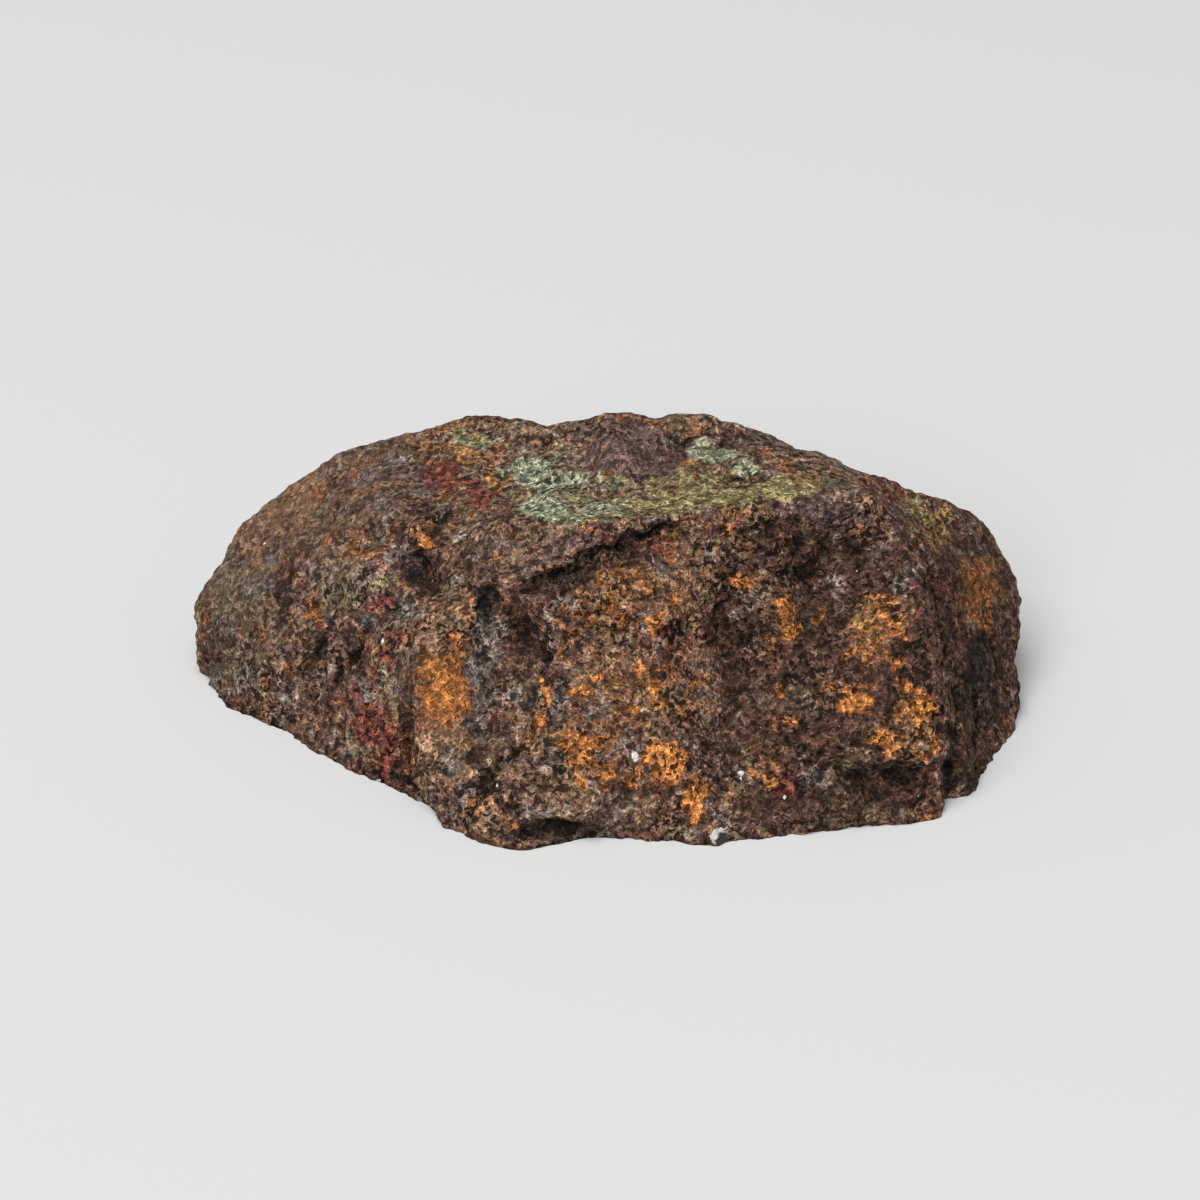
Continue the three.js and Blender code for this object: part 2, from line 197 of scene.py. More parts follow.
# Fine relief of the crust that the solid leaves out: its name, half width and height in millimetres,
# and the pixels of the photograph that it runs through.
FINE_RELIEF = [
    ("overhang under the ledge", 0.45, -0.6, [(672, 529), (640, 536), (600, 552), (566, 572), (520, 588)]),
    ("hole at the ledge's end", 0.55, -0.9, [(488, 594), (485, 606)]),
    ("lip of the ledge", 0.5, 0.3, [(672, 518), (640, 524), (598, 540), (560, 560), (505, 578)]),
    ("crest towards the summit", 0.5, 0.3, [(700, 530), (760, 520), (810, 512), (862, 508)]),
    ("slope under the crest", 1.4, 0.6, [(764, 562), (800, 556), (838, 562)]),
    ("crack in the crown", 0.35, -0.5, [(738, 474), (762, 480), (785, 470)]),
    ("crack behind the boss", 0.3, -0.35, [(668, 444), (684, 438), (700, 436)]),
    ("groove left of the rib", 0.45, -0.6, [(547, 650), (543, 672), (533, 700), (528, 740)]),
    ("rib", 0.45, 0.4, [(556, 648), (552, 690), (556, 716)]),
    ("upper diagonal crack", 0.45, -0.8, [(520, 748), (492, 776), (468, 812)]),
    ("lower diagonal crack", 0.4, -0.7, [(500, 755), (474, 786), (458, 800)]),
    ("seam left of the knob", 0.45, -0.5, [(408, 735), (404, 760), (416, 786)]),
    ("seam under the knob", 0.4, -0.5, [(418, 775), (438, 790), (462, 792)]),
    ("gouge on the shoulder", 0.5, -0.6, [(452, 512), (436, 528), (410, 556)]),
    ("pocket below the gouge", 0.7, -0.45, [(416, 572), (432, 590)]),
    ("long crescent", 0.5, -0.8, [(364, 628), (360, 648), (346, 668), (330, 682)]),
    ("short crescent", 0.45, -0.7, [(326, 622), (320, 646), (306, 664)]),
    ("pit low on the dome", 0.5, -0.5, [(274, 690), (270, 684)]),
    ("pit by the left edge", 0.4, -0.5, [(210, 656), (206, 664)]),
    ("dimple by the left edge", 0.35, -0.4, [(236, 698), (234, 694)]),
    ("cleft beside the right lobe", 0.4, -0.5, [(948, 738), (953, 764), (953, 782)]),
    ("dent in the valley", 0.5, -0.5, [(756, 632), (744, 646)]),
    ("dent under the summit", 0.5, -0.4, [(864, 600), (850, 608), (840, 622)]),
    ("groove down the right end", 0.5, -0.5, [(928, 560), (944, 640), (950, 720)]),
    ("cavity at the rim", 0.8, -0.7, [(532, 832), (550, 828), (578, 832)]),
    ("arch over the cavity", 0.5, 0.35, [(514, 824), (545, 812), (588, 820)]),
    ("bead of metal in the rim", 0.45, 0.4, [(716, 832), (718, 838)]),
    ("seam in the right face", 0.35, -0.4, [(930, 570), (945, 640), (957, 700), (960, 745)]),
    ("edge of the right face", 0.6, 0.25, [(872, 500), (900, 556), (922, 620), (938, 690), (946, 756)]),
    ("furrow in the right face", 0.3, -0.35, [(950, 560), (966, 640), (975, 720), (976, 765)]),
    ("outer furrow in the right face", 0.3, -0.3, [(975, 560), (992, 640), (996, 710)]),
    ("fold over the recess", 0.4, -0.4, [(858, 736), (828, 752), (804, 776), (796, 800)]),
    ("edge over the recess", 0.4, 0.3, [(850, 748), (888, 752), (930, 762)]),
]


def crumb(place):
    """The crust's own roughness at a place: rounded crumbs with sharp creases, and pits."""
    point = Vector(place)
    lumps = sum(height * abs(noise.noise(point * pitch + field)) for pitch, height, field in LUMPS)
    grain = GRAIN_HEIGHT * noise.noise(point * GRAIN_PITCH)
    gaps = noise.voronoi(point * CRUMB_PITCH + CRUMB_FIELD)[0]
    pits = noise.voronoi(point * PIT_PITCH)[0]
    pit = max(0.0, 1 - pits[0] / PIT_REACH)
    return lumps + grain + CRUMB_HEIGHT * (gaps[1] - gaps[0]) - PIT_DEPTH * pit * pit


def standing_out(places, triangles, edges, rim):
    """How far each place stands out of the smoothed crust, in millimetres. Hollows are below 0."""
    smooth = rounded(places, edges, rim, SMOOTHING_PASSES)
    return ((places - smooth) * outward(smooth, triangles)).sum(axis=1)


def crust_mesh():
    """The crust with all its relief, still open underneath.

    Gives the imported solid's surface, the crust's corner places and triangles, how far each place stands
    out, and how level it is, 0 to 1.
    """
    solid = solid_of_stone()
    surface = BVHTree.FromBMesh(solid)
    places, triangles, edges, rim = divided_crust(solid)
    solid.free()
    places = rounded(places, edges, rim, ROUNDING_PASSES)
    out = outward(places, triangles)

    relief = np.zeros(len(places))
    ragged = wandering(places)
    for _, half, height, pixels in FINE_RELIEF:
        path = [spot(surface, pixel) for pixel in pixels]
        relief += height * nearness(ragged, path, half)
    rough = np.array([crumb(place) for place in places])
    smoother = np.clip((out[:, 2] - LEVEL_BEGINS) / (1 - LEVEL_BEGINS), 0, 1)
    relief += (rough - rough.mean()) * (1 - LEVEL_SMOOTHNESS * smoother)
    out[rim, 2] = 0
    places = places + out * relief[:, None]
    places[:, 2] = np.maximum(places[:, 2], 0)
    places[rim, 2] = 0
    return surface, places, triangles, standing_out(places, triangles, edges, rim), smoother


# Where the crust is stained. Each stain is a soft oval in the photograph: the part of the stone that it
# is on or next to, the pixel at its middle, half its width and half its height in pixels, how far it
# leans to the right in degrees, and its strength.
STAINS = {
    "rust": [
        ("knob", (438, 678), (26, 26), 0, 1.0),
        ("knob", (446, 700), (24, 22), 0, 1.0),
        ("grey groove", (452, 634), (8, 14), 0, 0.7),
        ("knob", (424, 722), (14, 18), 0, 0.6),
        ("foot of the panel", (582, 750), (22, 16), 0, 1.0),
        ("foot of the panel", (668, 764), (22, 20), 20, 1.0),
        ("foot of the valley", (694, 798), (15, 24), -20, 0.95),
        ("tip of the crown", (797, 481), (12, 4), -10, 0.75),
        ("brow", (742, 581), (13, 9), 0, 1.0),
        ("under the crest", (752, 574), (7, 5), -30, 0.9),
        ("head of the panel", (654, 620), (10, 16), -20, 0.95),
        ("ledge", (612, 568), (12, 6), -20, 0.7),
        ("rib", (580, 690), (14, 8), 20, 0.95),
        ("rib", (592, 677), (9, 7), 40, 1.0),
        ("panel", (632, 672), (26, 9), 10, 0.6),
        ("rib", (542, 690), (4, 24), 12, 0.95),
        ("rib", (541, 720), (8, 8), 0, 0.9),
        ("under the crest", (786, 606), (16, 18), 0, 0.72),
        ("right block", (792, 628), (14, 8), 0, 0.75),
        ("right block", (775, 636), (7, 14), 0, 0.6),
        ("right block", (816, 614), (8, 8), 0, 0.75),
        ("right block", (812, 700), (10, 8), 0, 0.7),
        ("valley", (778, 690), (8, 10), 0, 0.6),
        ("right block", (846, 655), (8, 6), 0, 0.75),
        ("corner of the right block", (886, 612), (16, 20), -15, 0.7),
        ("corner of the right block", (900, 630), (14, 18), -15, 0.72),
        ("corner of the right block", (866, 642), (22, 12), 0, 0.72),
        ("corner of the right block", (880, 664), (24, 14), 0, 0.6),
        ("foot of the right block", (856, 697), (20, 16), 0, 1.0),
        ("right block", (838, 690), (18, 9), 0, 0.6),
        ("foot of the right block", (906, 688), (12, 12), 0, 0.8),
        ("foot of the right block", (924, 706), (12, 16), -20, 0.9),
        ("foot of the right block", (900, 708), (12, 12), 0, 0.65),
        ("foot of the right block", (918, 724), (9, 9), 0, 0.75),
        ("foot of the right block", (884, 733), (18, 14), 0, 0.8),
        ("foot of the right block", (892, 752), (10, 10), 0, 0.7),
        ("cleft", (925, 745), (24, 12), 0, 0.55),
        ("valley", (788, 722), (20, 10), 0, 0.66),
        ("foot of the valley", (768, 775), (26, 16), 0, 0.55),
        ("gouge", (426, 539), (10, 7), 40, 0.95),
        ("right face", (978, 592), (18, 34), -8, 0.7),
        ("right face", (990, 625), (8, 20), 0, 0.58),
        ("head of the panel", (625, 600), (60, 34), 20, 0.53),
        ("panel", (655, 690), (56, 34), 0, 0.55),
        ("foot of the panel", (610, 780), (44, 18), 0, 0.56),
        ("toe", (520, 826), (10, 10), 0, 0.6),
        ("foot of the shoulder", (312, 610), (10, 26), 10, 0.6),
        ("left tip", (208, 618), (8, 12), 0, 0.6),
        ("shoulder", (318, 500), (8, 10), 0, 0.55),
        ("shoulder", (352, 545), (22, 26), 0, 0.55),
        ("under the knob", (408, 752), (8, 20), 0, 0.6),
    ],
    "ochre": [
        ("left of the crown", (460, 452), (26, 10), -35, 0.95),
        ("red slope", (500, 484), (22, 8), -35, 0.9),
        ("tip of the crown", (800, 482), (18, 8), 0, 1.0),
        ("right of the crown", (690, 470), (30, 12), 15, 0.6),
        ("head of the panel", (608, 588), (26, 26), 0, 0.85),
        ("head of the panel", (640, 580), (30, 16), 0, 0.6),
        ("panel", (650, 690), (60, 34), 0, 0.55),
        ("ledge", (560, 560), (40, 12), 15, 0.5),
        ("rib", (560, 735), (22, 20), 0, 0.5),
        ("summit", (932, 528), (22, 30), -30, 0.72),
        ("right face", (978, 594), (24, 44), -8, 0.75),
        ("corner of the right block", (872, 628), (36, 32), 0, 0.75),
        ("foot of the right block", (912, 706), (26, 30), 0, 0.7),
        ("foot of the right block", (905, 745), (36, 14), 0, 0.75),
        ("brow", (745, 512), (30, 8), 0, 0.6),
        ("brow", (720, 545), (40, 10), 0, 0.45),
        ("under the knob", (440, 760), (26, 24), 0, 0.6),
    ],
    "red": [
        ("left of the crown", (446, 476), (26, 18), -20, 0.8),
        ("red slope", (476, 492), (20, 16), -20, 0.8),
        ("red slope", (500, 520), (20, 16), 0, 0.52),
        ("pocket", (385, 604), (14, 10), 0, 0.9),
        ("red corner", (382, 660), (20, 26), 0, 0.62),
        ("red corner", (368, 722), (24, 28), 0, 0.85),
        ("lower left rim", (392, 766), (13, 24), 10, 1.0),
        ("red corner", (345, 704), (16, 10), 0, 0.55),
        ("pocket", (404, 632), (26, 16), 0, 0.5),
        ("brow", (725, 520), (30, 10), 10, 0.6),
        ("ledge", (600, 574), (30, 20), 0, 0.66),
        ("summit", (892, 490), (24, 12), 0, 0.75),
        ("ridge", (962, 630), (10, 60), -8, 0.56),
        ("foot of the valley", (790, 786), (26, 16), 0, 0.8),
        ("right face", (950, 585), (14, 30), -20, 0.56),
        ("foot of the shoulder", (298, 575), (9, 26), -15, 0.5),
        ("left rim", (270, 708), (34, 8), -30, 0.5),
        ("panel", (665, 640), (30, 40), 0, 0.56),
        ("floor of the crown", (640, 545), (60, 8), -14, 0.6),
    ],
    "mint": [
        ("mint bloom", (536, 474), (34, 18), 0, 1.0),
        ("mint bloom", (544, 506), (30, 16), 0, 0.95),
        ("mint bloom", (590, 480), (34, 14), 0, 0.6),
        ("right of the crown", (712, 452), (34, 12), -12, 0.9),
        ("right of the crown", (745, 470), (22, 8), -15, 0.7),
        ("floor of the crown", (600, 508), (36, 12), 0, 0.75),
        ("left of the crown", (478, 440), (30, 9), 0, 0.55),
        ("mint bloom", (560, 446), (20, 12), 0, 0.45),
    ],
    "moss": [
        ("floor of the crown", (600, 508), (72, 12), 3, 0.95),
        ("brow", (700, 500), (64, 13), 4, 0.95),
        ("tip of the crown", (780, 487), (34, 11), 8, 1.0),
        ("floor of the crown", (640, 486), (60, 14), 0, 0.55),
        ("left of the crown", (472, 438), (26, 10), -10, 0.85),
        ("right of the crown", (700, 478), (44, 12), 0, 0.7),
        ("summit", (920, 512), (26, 14), -25, 0.56),
        ("pocket", (384, 585), (20, 8), 25, 0.5),
    ],
    "plum": [
        ("boss", (635, 455), (44, 26), 0, 0.95),
        ("boss", (610, 430), (30, 12), 0, 0.6),
        ("ledge", (580, 545), (60, 10), 15, 0.6),
        ("crest", (810, 510), (64, 14), -12, 0.9),
        ("summit", (880, 540), (26, 24), 0, 0.55),
        ("shoulder by the crown", (418, 478), (14, 18), 0, 0.7),
        ("dark hollow", (540, 590), (28, 22), 0, 0.6),
        ("pocket", (408, 560), (16, 22), 0, 0.6),
        ("right face", (962, 525), (22, 18), 0, 0.5),
        ("red slope", (500, 545), (20, 26), 0, 0.45),
    ],
    "slate": [
        ("grey groove", (482, 650), (15, 56), 0, 1.0),
        ("knob", (474, 722), (12, 24), 20, 0.9),
        ("under the knob", (448, 762), (16, 18), 0, 0.8),
        ("rib", (556, 700), (8, 20), 0, 0.95),
        ("right end", (984, 690), (12, 30), 0, 0.6),
        ("foot of the valley", (820, 780), (26, 14), 10, 0.7),
        ("dome", (262, 590), (28, 14), 0, 0.6),
        ("left rim", (236, 680), (30, 28), -30, 0.55),
        ("foot of the valley", (716, 780), (10, 22), 0, 0.6),
        ("corner of the right block", (898, 600), (16, 60), -20, 0.5),
        ("head of the panel", (655, 606), (12, 12), 0, 0.5),
        ("cleft", (944, 772), (4, 20), 0, 0.9),
        ("lower rim", (570, 840), (16, 5), 12, 0.6),
        ("shoulder by the crown", (400, 500), (20, 16), 0, 0.35),
    ],
    # Soot: a dark stain that is partly dark crust and partly painted shade, in the hole, hollows, pockets,
    # clefts, the recess, the cavity at the toe, under the ledge and crest, and on the right side turned
    # from the light.
    "soot_and_painted_shade": [
        ("right end", (977, 668), (16, 36), -8, 1.0),
        ("right face", (985, 548), (14, 30), -20, 0.5),
        ("right face", (905, 570), (10, 40), -20, 0.6),
        ("summit", (888, 530), (30, 12), 0, 0.5),
        ("hole", (486, 604), (16, 16), 0, 1.0),
        ("dark hollow", (528, 634), (12, 16), 0, 0.7),
        ("valley", (752, 640), (10, 16), 30, 0.7),
        ("under the crest", (800, 566), (56, 16), 0, 0.44),
        ("recess", (880, 768), (44, 8), 0, 0.85),
        ("pocket", (424, 590), (12, 6), 0, 0.7),
        ("right of the crown", (752, 478), (18, 5), 10, 0.9),
        ("right of the crown", (700, 437), (30, 4), 5, 0.6),
        ("pocket", (410, 558), (8, 10), 0, 0.5),
        ("floor of the crown", (640, 536), (44, 8), 22, 0.85),
        ("ledge", (575, 574), (30, 10), 20, 0.85),
        ("toe", (548, 833), (46, 14), 0, 1.0),
        ("under the knob", (404, 765), (10, 26), -10, 0.8),
        ("dark hollow", (560, 640), (12, 30), 0, 0.4),
        ("cleft", (950, 762), (6, 34), 0, 1.0),
        ("foot of the valley", (770, 780), (60, 10), 0, 0.4),
        ("red corner", (354, 655), (9, 28), 25, 0.95),
        ("foot of the shoulder", (321, 645), (6, 26), 18, 1.0),
        ("foot of the shoulder", (284, 600), (8, 40), -6, 0.75),
        ("dome", (264, 554), (9, 9), 0, 0.5),
        ("left tip", (246, 622), (12, 14), 0, 0.45),
        ("ridge", (925, 650), (16, 60), 0, 0.4),
        ("toe", (490, 782), (8, 40), 35, 0.9),
        ("rib", (545, 670), (6, 30), 8, 0.8),
    ],
    # Umber: a dark brown stain that is partly the crust's own colour and partly painted shade, under the
    # crest, in the recess, hollows and pockets, and on the right side turned from the light.
    "umber_and_painted_shade": [
        ("under the crest", (805, 552), (70, 36), 0, 0.72),
        ("corner of the right block", (880, 575), (40, 60), -20, 0.85),
        ("right block", (800, 640), (64, 64), 0, 0.85),
        ("right block", (810, 720), (76, 50), 0, 0.82),
        ("corner of the right block", (890, 670), (60, 80), 0, 0.9),
        ("foot of the valley", (700, 760), (50, 40), 0, 0.6),
        ("crest", (800, 515), (70, 20), -10, 0.7),
        ("foot of the panel", (640, 790), (60, 26), 0, 0.56),
        ("valley", (735, 670), (18, 60), 5, 0.7),
        ("foot of the valley", (742, 740), (16, 40), 0, 0.5),
        ("ridge", (930, 640), (34, 110), -14, 0.9),
        ("right end", (985, 690), (30, 90), -10, 0.9),
        ("right face", (995, 570), (30, 60), -10, 0.6),
        ("right face", (950, 540), (30, 40), -20, 0.6),
        ("recess", (885, 790), (76, 26), 5, 1.0),
        ("foot of the valley", (800, 806), (60, 28), 0, 0.9),
        ("lobe", (970, 770), (30, 30), 0, 0.9),
        ("left rim", (210, 680), (40, 40), -30, 0.5),
        ("lower rim", (600, 830), (60, 12), 0, 0.6),
        ("dark hollow", (525, 640), (26, 34), 0, 0.7),
        ("pocket", (424, 570), (22, 34), 30, 0.95),
        ("foot of the shoulder", (300, 640), (14, 30), 15, 0.5),
        ("gouge", (440, 530), (12, 20), 30, 0.8),
        ("dome", (285, 570), (14, 60), -8, 0.6),
        ("left tip", (215, 650), (16, 60), 0, 0.75),
        ("left rim", (250, 715), (50, 14), -30, 0.75),
        ("lower left rim", (350, 770), (60, 14), -28, 0.6),
        ("under the knob", (408, 745), (10, 50), 0, 0.8),
        ("lower rim", (640, 812), (60, 14), 0, 0.5),
        ("hole", (470, 560), (40, 14), 20, 0.5),
    ],
    "olive": [
        ("left tip", (235, 600), (34, 44), 0, 0.85),
        ("left rim", (235, 670), (30, 34), -20, 0.7),
        ("shoulder", (352, 520), (44, 34), 0, 0.62),
        ("foot of the shoulder", (335, 590), (44, 30), -10, 0.66),
        ("hole", (455, 590), (30, 14), 0, 0.6),
        ("gouge", (430, 500), (24, 20), 0, 0.55),
        ("red slope", (505, 545), (34, 12), 0, 0.7),
        ("mint bloom", (560, 428), (90, 10), 0, 0.7),
        ("right of the crown", (760, 440), (60, 10), 18, 0.7),
        ("back edge", (850, 480), (50, 10), 22, 0.6),
        ("summit", (930, 520), (34, 30), 30, 0.7),
        ("panel", (660, 690), (50, 20), 0, 0.6),
        ("rib", (560, 750), (20, 36), 0, 0.75),
        ("right block", (800, 700), (40, 20), 0, 0.6),
        ("recess", (870, 815), (70, 12), 5, 0.6),
        ("knob", (420, 660), (10, 8), 0, 0.7),
    ],
    "tan": [
        ("head of the panel", (640, 600), (56, 34), 0, 0.66),
        ("panel", (640, 670), (70, 50), 0, 0.58),
        ("boss", (600, 480), (150, 60), 0, 0.4),
        ("under the knob", (440, 745), (34, 40), 0, 0.9),
        ("grey groove", (438, 640), (24, 34), 0, 0.7),
        ("shoulder", (300, 500), (50, 34), 30, 0.7),
        ("dome", (250, 540), (30, 60), 40, 0.65),
        ("left of the crown", (500, 430), (70, 14), 0, 0.5),
        ("toe", (560, 780), (40, 30), 0, 0.5),
        ("brow", (690, 590), (30, 50), 0, 0.7),
        ("right of the crown", (700, 425), (60, 10), 0, 0.5),
    ],
}

# Crumbs of white mineral: where each is, its pixel in the photograph and its radius in millimetres.
PALE_CRUMBS = [
    ("foot of the panel", (634, 755), 0.22),
    ("below the first", (636, 760), 0.18),
    ("foot of the valley", (741, 773), 0.2),
    ("below the third", (740, 778), 0.16),
    ("red corner", (382, 641), 0.16),
    ("panel", (642, 711), 0.13),
    ("foot of the right block", (785, 797), 0.12),
    ("lower left rim", (378, 781), 0.2),
    ("toe", (497, 786), 0.13),
    ("right face", (959, 611), 0.12),
    ("dome", (264, 544), 0.12),
    ("left rim", (284, 700), 0.13),
]

# The bead of metal in the rim, with a painted highlight and painted shade on its darker side: the pixel at
# the middle of the bead and of its painted shade, and how far from there each begins to end and has ended,
# in millimetres.
METAL_BEAD = (719, 836)
METAL_BEAD_SHADE = (723, 840)
BEAD_ENDS = (0.5, 0.56)
BEAD_SHADE_ENDS = (0.44, 0.52)

# Where the crust is worn smooth and its grain is faint, in the same form as the stains.
WORN_SMOOTH = [
    ("dome", (280, 520), (110, 60), 45, 1.0),
    ("shoulder", (350, 490), (70, 40), 20, 0.8),
    ("left tip", (225, 600), (40, 60), 0, 0.6),
    ("knob", (440, 690), (34, 44), 0, 1.0),
    ("right face", (980, 580), (40, 70), 0, 0.8),
    ("boss", (640, 455), (60, 30), 0, 0.6),
]

# A stain loses this share of its strength from its middle to its edge, ends for good at so many times
# its longer half, and fades out this fast where the crust turns edge-on to the photograph's view.
STAIN_FADE = 0.45
STAIN_REACH = 2.5
EDGE_ON_FADE = 5

# Stains on the sides that the photograph doesn't show come from broad noise instead. For each: what is
# added to the noise, so that more of it stains the crust, and what sets its pattern apart.
HIDDEN_STAINS = {
    "umber_and_painted_shade": (0.18, 91.0),
    "tan": (0.14, 97.0),
    "olive": (0.14, 79.0),
    "plum": (0.12, 67.0),
    "red": (0.06, 37.0),
    "ochre": (0.12, 23.0),
    "slate": (0.06, 71.0),
    "moss": (-0.08, 41.0),
    "mint": (-0.14, 53.0),
    "soot_and_painted_shade": (0.1, 83.0),
    "rust": (0.06, 11.0),
}

# The millimetres to a wave of that noise, how many times stronger it is made, and how its seed is shared
# out among its three directions.
HIDDEN_STAIN_SIZE = 5.5
HIDDEN_STAIN_GAIN = 1.5
HIDDEN_SEED_STEPS = (1, 0.7, 0.3)

# How strong the hidden stains are where the crust is edge-on to the view, and how fast they grow behind.
HIDDEN_EDGE_ON = 0.3
HIDDEN_GROWTH = 3

# The crust is the mesh's first material and the sawn face its second.
SAWN_SLOT = 1


def stain_strengths(surface, places, facing, stains):
    """How strongly the named stains colour each place of the crust, 0 to 1."""
    seen = in_photo(wandering(places))
    strengths = np.zeros(len(places))
    for _, pixel, half, lean, strength in stains:
        offsets = seen - np.array(pixel)
        turn = math.radians(lean)
        across = offsets[:, 0] * math.cos(turn) - offsets[:, 1] * math.sin(turn)
        down = offsets[:, 0] * math.sin(turn) + offsets[:, 1] * math.cos(turn)
        distance = (across / half[0]) ** 2 + (down / half[1]) ** 2
        reach = STAIN_REACH * max(half) / PIXELS_PER_MM
        near = np.linalg.norm(places - spot(surface, pixel), axis=1) < reach
        strengths = np.maximum(strengths, strength * np.clip(1 - STAIN_FADE * distance, 0, 1) * near)
    return strengths * np.clip(facing * EDGE_ON_FADE, 0, 1)


def hidden_strengths(places, facing, extra, seed):
    """How strongly a stain colours the sides that the photograph doesn't show, 0 to 1."""
    shift = Vector([seed * step for step in HIDDEN_SEED_STEPS])
    pattern = np.array([noise.noise(Vector(place) / HIDDEN_STAIN_SIZE + shift) for place in places])
    hidden = np.clip(HIDDEN_EDGE_ON - facing * HIDDEN_GROWTH, 0, 1)
    return np.clip((pattern + extra) * HIDDEN_STAIN_GAIN, 0, 1) * hidden


def add_strengths(mesh, name, values):
    """Stores a value for each corner of the mesh, for its material to read."""
    layer = mesh.attributes.new(name, "FLOAT", "POINT")
    layer.data.foreach_set("value", values.astype(np.float32))


def close_underneath(mesh):
    """Fills the crust's open rim with the sawn face, which is flat and has its own material."""
    shape = bmesh.new()
    shape.from_mesh(mesh)
    rim_edges = [e for e in shape.edges if e.is_boundary]
    filled = bmesh.ops.triangle_fill(shape, edges=rim_edges, use_beauty=True)
    for face in filled["geom"]:
        if isinstance(face, bmesh.types.BMFace):
            face.material_index = SAWN_SLOT
    bmesh.ops.recalc_face_normals(shape, faces=shape.faces)
    shape.to_mesh(mesh)
    shape.free()
    for polygon in mesh.polygons:
        polygon.use_smooth = polygon.material_index != SAWN_SLOT


def build_stone():
    """The visible stone, with its stains stored in the mesh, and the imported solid's surface."""
    surface, places, triangles, relief, level = crust_mesh()
    mesh = bpy.data.meshes.new("meteorite_crust")
    mesh.from_pydata((places * MM).tolist(), [], triangles.tolist())
    out = outward(places, triangles)
    facing = -(out @ np.array(VIEW_AWAY))
    for name, stains in STAINS.items():
        values = stain_strengths(surface, places, facing, stains)
        hidden = hidden_strengths(places, facing, *HIDDEN_STAINS[name])
        add_strengths(mesh, name, np.maximum(values, hidden))
    add_strengths(mesh, "worn", stain_strengths(surface, places, facing, WORN_SMOOTH))
    add_strengths(mesh, "relief", relief)
    add_strengths(mesh, "level", level)
    close_underneath(mesh)

    stone = bpy.data.objects.new("meteorite_crust", mesh)
    bpy.context.scene.collection.objects.link(stone)
    return stone, surface


# Materials.

# How a pattern's seed is shared out among the three directions of its noise, and the noise's mean.
SEED_STEPS = (1, 0.6, 0.3)
NOISE_MEAN = 0.5

# How far noise moves the edges of the pale crumbs and the bead, in millimetres, and how often.
RAGGEDNESS = 0.5
RAGGED_PITCH = 2.6

# Where a Mix node keeps its sockets for colours.
MIX_FACTOR = 0
MIX_FIRST = 6
MIX_SECOND = 7
MIX_RESULT = 2


